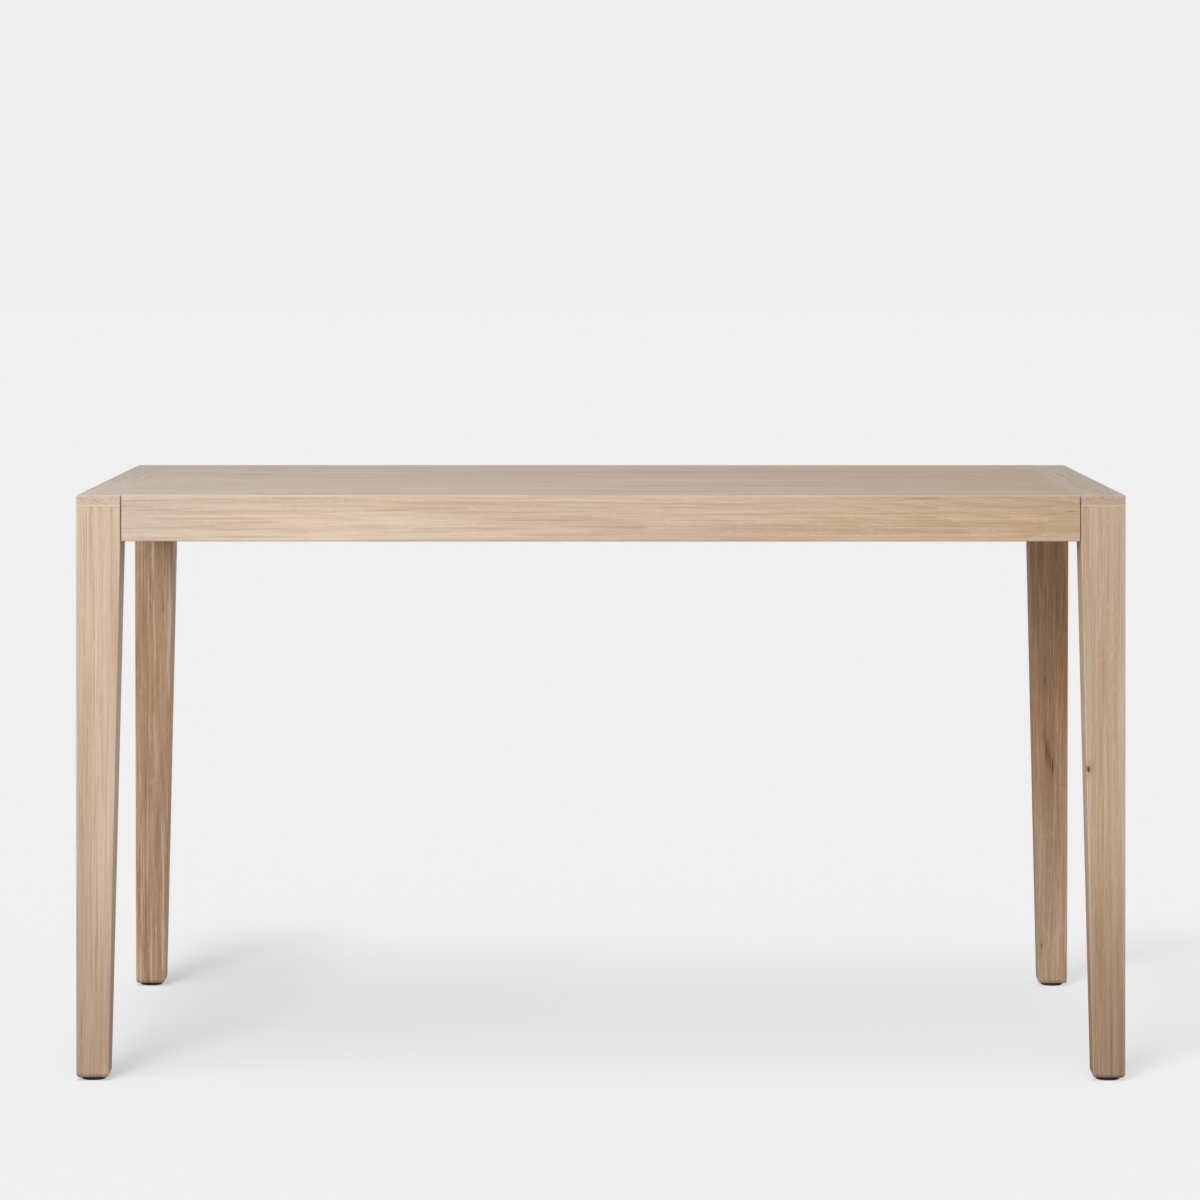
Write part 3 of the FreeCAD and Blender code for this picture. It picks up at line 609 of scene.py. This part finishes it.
def place_piece(mesh, name, body, slot, material, *nodes):
    """Shows a mesh as a piece on a body, standing for CAD nodes."""
    mesh.materials.append(material)
    smooth_by_angle(mesh)
    piece = bpy.data.objects.new(name, mesh)
    bpy.context.scene.collection.objects.link(piece)
    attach(piece, body)
    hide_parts(*nodes)
    return piece


def smooth_by_angle(mesh, limit=math.radians(32)):
    """Shades a mesh smooth, except across edges sharper than limit."""
    work = bmesh.new()
    work.from_mesh(mesh)
    bmesh.ops.recalc_face_normals(work, faces=work.faces)
    for face in work.faces:
        face.smooth = True
    for edge in work.edges:
        edge.smooth = edge.is_manifold and edge.calc_face_angle(0) < limit
    work.to_mesh(mesh)
    work.free()


def make_glide_stem(corner, steel):
    """A stem with a hexagon key socket, a collar and an M8 thread."""
    node = f"{corner}_glide_stem"
    low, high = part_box(node)
    collar = (high.x - low.x) / 2
    collar_top, socket, key = low.z + 1.6 * MM, low.z + 4 * MM, 5 * MM
    soft, tip = 0.3 * MM, 1 * MM
    rows = [socket + 0.6 * MM, hexagon(key, socket), hexagon(key, low.z + soft)]
    rows += [hexagon(key + 2 * soft, low.z), circle(collar - soft, low.z)]
    rows += [circle(collar, low.z + soft), circle(collar, collar_top - soft)]
    rows += [circle(collar - soft, collar_top), circle(CREST - 0.6 * MM, collar_top)]
    rows += thread(collar_top + soft, high.z - tip)
    rows += [circle(CREST - tip, high.z), high.z]
    mesh = turned(f"{node}_threaded", rows)
    middle = (low + high) / 2
    mesh.transform(Matrix.Translation((middle.x, middle.y, 0)))
    return place_piece(mesh, f"{node}_threaded", node, "zinc_steel", steel, node)


def make_frame_bolts(steel):
    """Hexagon bolts with chamfered heads and M8 threads, along X."""
    head, wide, shank, tip = 5.3 * MM, 13 * MM, 12 * MM, 1 * MM
    soft = 0.5 * MM
    bolts = bmesh.new()
    for low, high in islands("frame_bolts"):
        length = high.x - low.x
        rows = [0.0, hexagon(wide, 0, wide * 0.44), hexagon(wide, soft, wide * 0.52)]
        rows += [hexagon(wide, head * 0.5), hexagon(wide, head - 0.3 * MM)]
        rows += [hexagon(wide, head - 0.3 * MM, wide * 0.49), circle(wide * 0.47, head)]
        rows += [circle(CREST - 0.1 * MM, head), circle(CREST - 0.1 * MM, head + shank)]
        rows += thread(head + shank + soft, length - tip)
        rows += [circle(CREST - tip, length), length]
        bolt = turned("bolt", rows, 36)
        outward = 1 if low.x > 0 else -1
        start = low.x if outward > 0 else high.x
        turned_to_x = Matrix.Rotation(math.pi / 2 * outward, 4, "Y")
        middle = (low + high) / 2
        bolt.transform(Matrix.Translation((start, middle.y, middle.z)) @ turned_to_x)
        bolts.from_mesh(bolt)
        bpy.data.meshes.remove(bolt)
    mesh = bpy.data.meshes.new("frame_bolts_threaded")
    bolts.to_mesh(mesh)
    bolts.free()
    return place_piece(mesh, "frame_bolts_threaded", "table", "zinc_steel", steel, "frame_bolts")


def soften(node, width):
    """Takes the knife edge off a CAD piece's square arrises."""
    bevel = frame["nodes"][node].modifiers.new("arris", "BEVEL")
    bevel.width = width
    bevel.segments = 2
    bevel.limit_method = "ANGLE"
    bevel.angle_limit = math.radians(50)


# Studio

BACKDROP = 0.863
AMBIENT = 0.36
FLOOR_GLOW = 0.372
FLOOR_BOUNCE = 0.1
FLOOR_SHADE = 0.15


def make_world():
    """BACKDROP is what the camera and reflections see, and AMBIENT what lights the scene."""
    world = bpy.data.worlds.new("studio")
    bpy.context.scene.world = world
    world.use_nodes = True
    g = Graph(world.node_tree)
    background = g.tree.nodes["Background"]
    paths = g.node("ShaderNodeLightPath").outputs
    seen = g.math("MAXIMUM", paths["Is Camera Ray"], paths["Is Glossy Ray"])
    g.feed(background.inputs["Color"], (1, 1, 1, 1))
    strength = g.math("MULTIPLY_ADD", seen, BACKDROP - AMBIENT, AMBIENT)
    g.feed(background.inputs["Strength"], strength)


def make_floor():
    """A wide pale floor, which drops with the lowest glide when the glides are screwed out.

    Its grey is part shade and part glow, so that it meets the backdrop. The table sees a
    weaker glow than the camera does.
    """
    reach = 60
    mesh = bpy.data.meshes.new("floor")
    corners = [(-reach, -reach, 0), (reach, -reach, 0), (reach, reach, 0), (-reach, reach, 0)]
    mesh.from_pydata(corners, [], [(0, 1, 2, 3)])
    material = bpy.data.materials.new("pale_floor")
    material.use_nodes = True
    g = Graph(material.node_tree)
    shader = g.tree.nodes["Principled BSDF"]
    seen = g.node("ShaderNodeLightPath").outputs["Is Camera Ray"]
    g.feed(shader.inputs["Base Color"], g.join(*[g.math("MULTIPLY", seen, FLOOR_SHADE)] * 3))
    g.feed(shader.inputs["Roughness"], 0.9)
    g.feed(shader.inputs["Specular IOR Level"], 0.0)
    g.feed(shader.inputs["Emission Color"], (1, 1, 1, 1))
    g.feed(shader.inputs["Emission Strength"],
           g.math("MULTIPLY_ADD", seen, FLOOR_GLOW - FLOOR_BOUNCE, FLOOR_BOUNCE))
    mesh.materials.append(material)
    floor = bpy.data.objects.new("floor", mesh)
    bpy.context.scene.collection.objects.link(floor)
    floor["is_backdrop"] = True
    drop = floor.driver_add("location", 2).driver
    drop.type = "MIN"
    for corner in CORNERS:
        variable = drop.variables.new()
        variable.type = "TRANSFORMS"
        variable.targets[0].id = frame["bodies"][f"{corner}_glide_base"]
        variable.targets[0].transform_type = "LOC_Z"
        variable.targets[0].transform_space = "WORLD_SPACE"
    return floor


def make_sun(name, azimuth, elevation, softness, power, receivers, blockers):
    """A distant light from the front, lighting only receivers and shaded only by blockers.

    Its angles are in degrees. azimuth is how far round to the left it stands.
    """
    sun = bpy.data.lights.new(name, "SUN")
    sun.energy, sun.angle = power, math.radians(softness)
    sunlight = bpy.data.objects.new(name, sun)
    round_left, up = math.radians(azimuth), math.radians(elevation)
    flat = Vector((math.sin(round_left), math.cos(round_left), 0))
    direction = flat * math.cos(up) - Vector((0, 0, math.sin(up)))
    sunlight.rotation_euler = direction.to_track_quat("-Z", "Y").to_euler()
    bpy.context.scene.collection.objects.link(sunlight)
    sunlight.light_linking.receiver_collection = receivers
    sunlight.light_linking.blocker_collection = blockers


def make_softbox(name, place, aim, size, power, receivers, shine=True, colour=(1, 1, 1)):
    """A rectangular light that lights only receivers. shine is whether they mirror it."""
    light = bpy.data.lights.new(name, "AREA")
    light.shape = "RECTANGLE"
    light.size, light.size_y = size
    light.energy, light.color = power, colour
    softbox = bpy.data.objects.new(name, light)
    softbox.location = place
    softbox.rotation_euler = (Vector(aim) - Vector(place)).to_track_quat("-Z", "Y").to_euler()
    bpy.context.scene.collection.objects.link(softbox)
    softbox.light_linking.receiver_collection = receivers
    softbox.visible_glossy = shine


def group(name, pieces):
    made = bpy.data.collections.new(name)
    for piece in pieces:
        made.objects.link(piece)
    return made


def make_lights(floor):
    """Softboxes for the table, and soft suns that shade only the floor."""
    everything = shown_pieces()
    table, ground = group("lit_table", everything), group("lit_floor", [floor])
    make_softbox("key", (-1.8, -5.4, 2.4), (0, -0.3, 0.5), (1.3, 1.3), 117, table)
    make_softbox("top_front", (-0.8, -1.6, 2.0), (-0.2, 0, 0.7), (1.6, 0.9), 16.2, table)
    make_softbox("fill", (1.0, -5, 0.35), (0.2, 0, 0.5), (1.6, 0.6), 36, table,
                 colour=(1, 0.88, 0.76))
    for side, sign in (("left", -1), ("right", 1)):
        make_softbox(f"{side}_side", (4 * sign, 0, 0.55), (0, 0, 0.45), (1.6, 1.0), 55, table,
                     shine=False)
    make_softbox("back", (0.5, 3.2, 0.9), (0, 0, 0.4), (2.4, 1.2), 40, table, shine=False)
    inner = ("cross_rail", "batten", "corner_brace")
    shades = (("left", 14, 16, 4.2), ("left", 44, 30, 1.8), ("right", 25, 16, 3.2))
    for side, azimuth, softness, power in shades:
        own = [piece for piece in everything if side in piece.name.split("_")]
        outer = [piece for piece in own if not piece.name.endswith(inner)]
        blockers = group(f"{side}_end", outer)
        make_sun(f"{side}_shade", azimuth, 55, softness, power, ground, blockers)
    for elevation in (64, 76, 88):
        make_sun(f"top_shade_{elevation}", 5, elevation, 14, 0.6, ground, table)


CAMERA_Y = -6.032
LENS_SHIFT = -0.2815


def make_camera():
    """A level long lens from just above the table top, shifted down so that uprights stay upright.

    The shift holds only where the camera is set here, and is off for a view from anywhere else.
    """
    data = bpy.data.cameras.new("camera")
    data.lens, data.sensor_width = 130, 36
    data.clip_end = 200
    camera = bpy.data.objects.new("camera", data)
    camera.location = (0.01, CAMERA_Y, 1.1)
    camera.rotation_mode = "XYZ"
    camera.rotation_euler = [math.radians(angle) for angle in (89.69, 0, 0.11)]
    bpy.context.scene.collection.objects.link(camera)
    bpy.context.scene.camera = camera
    shift = data.driver_add("shift_y").driver
    variable = shift.variables.new()
    variable.name, variable.type = "y", "TRANSFORMS"
    variable.targets[0].id = camera
    variable.targets[0].transform_type = "LOC_Y"
    shift.expression = f"{LENS_SHIFT} if abs(y - {CAMERA_Y}) < {MM} else 0"


OAK = make_oak_group()
dress_table()
beech = plain_material("beech", *BEECH, stretch=(60, 500, 500), roughness=(0.5, 0.7))
steel = plain_material("zinc_steel", *ZINC, stretch=(900, 900, 900), roughness=(0.28, 0.5),
                       metallic=1.0, bump=0.02)
nylon = plain_material("black_nylon", *NYLON, stretch=(1400, 1400, 1400),
                       roughness=(0.42, 0.62), bump=0.03)
for node in ("loose_tenons", "apron_dowels", "cap_dowels", "locating_dowels"):
    paint(node, beech)
for node in ("bolt_washers", "bolt_inserts", "top_screws"):
    paint(node, steel)
make_frame_bolts(steel)
for corner in CORNERS:
    paint(f"{corner}_glide_insert", steel)
    paint(f"{corner}_glide_base", nylon)
    make_glide_stem(corner, steel)
    soften(f"{corner}_corner_brace", ARRIS)

make_world()
make_lights(make_floor())
make_camera()
bpy.context.scene.view_settings.view_transform = "Standard"
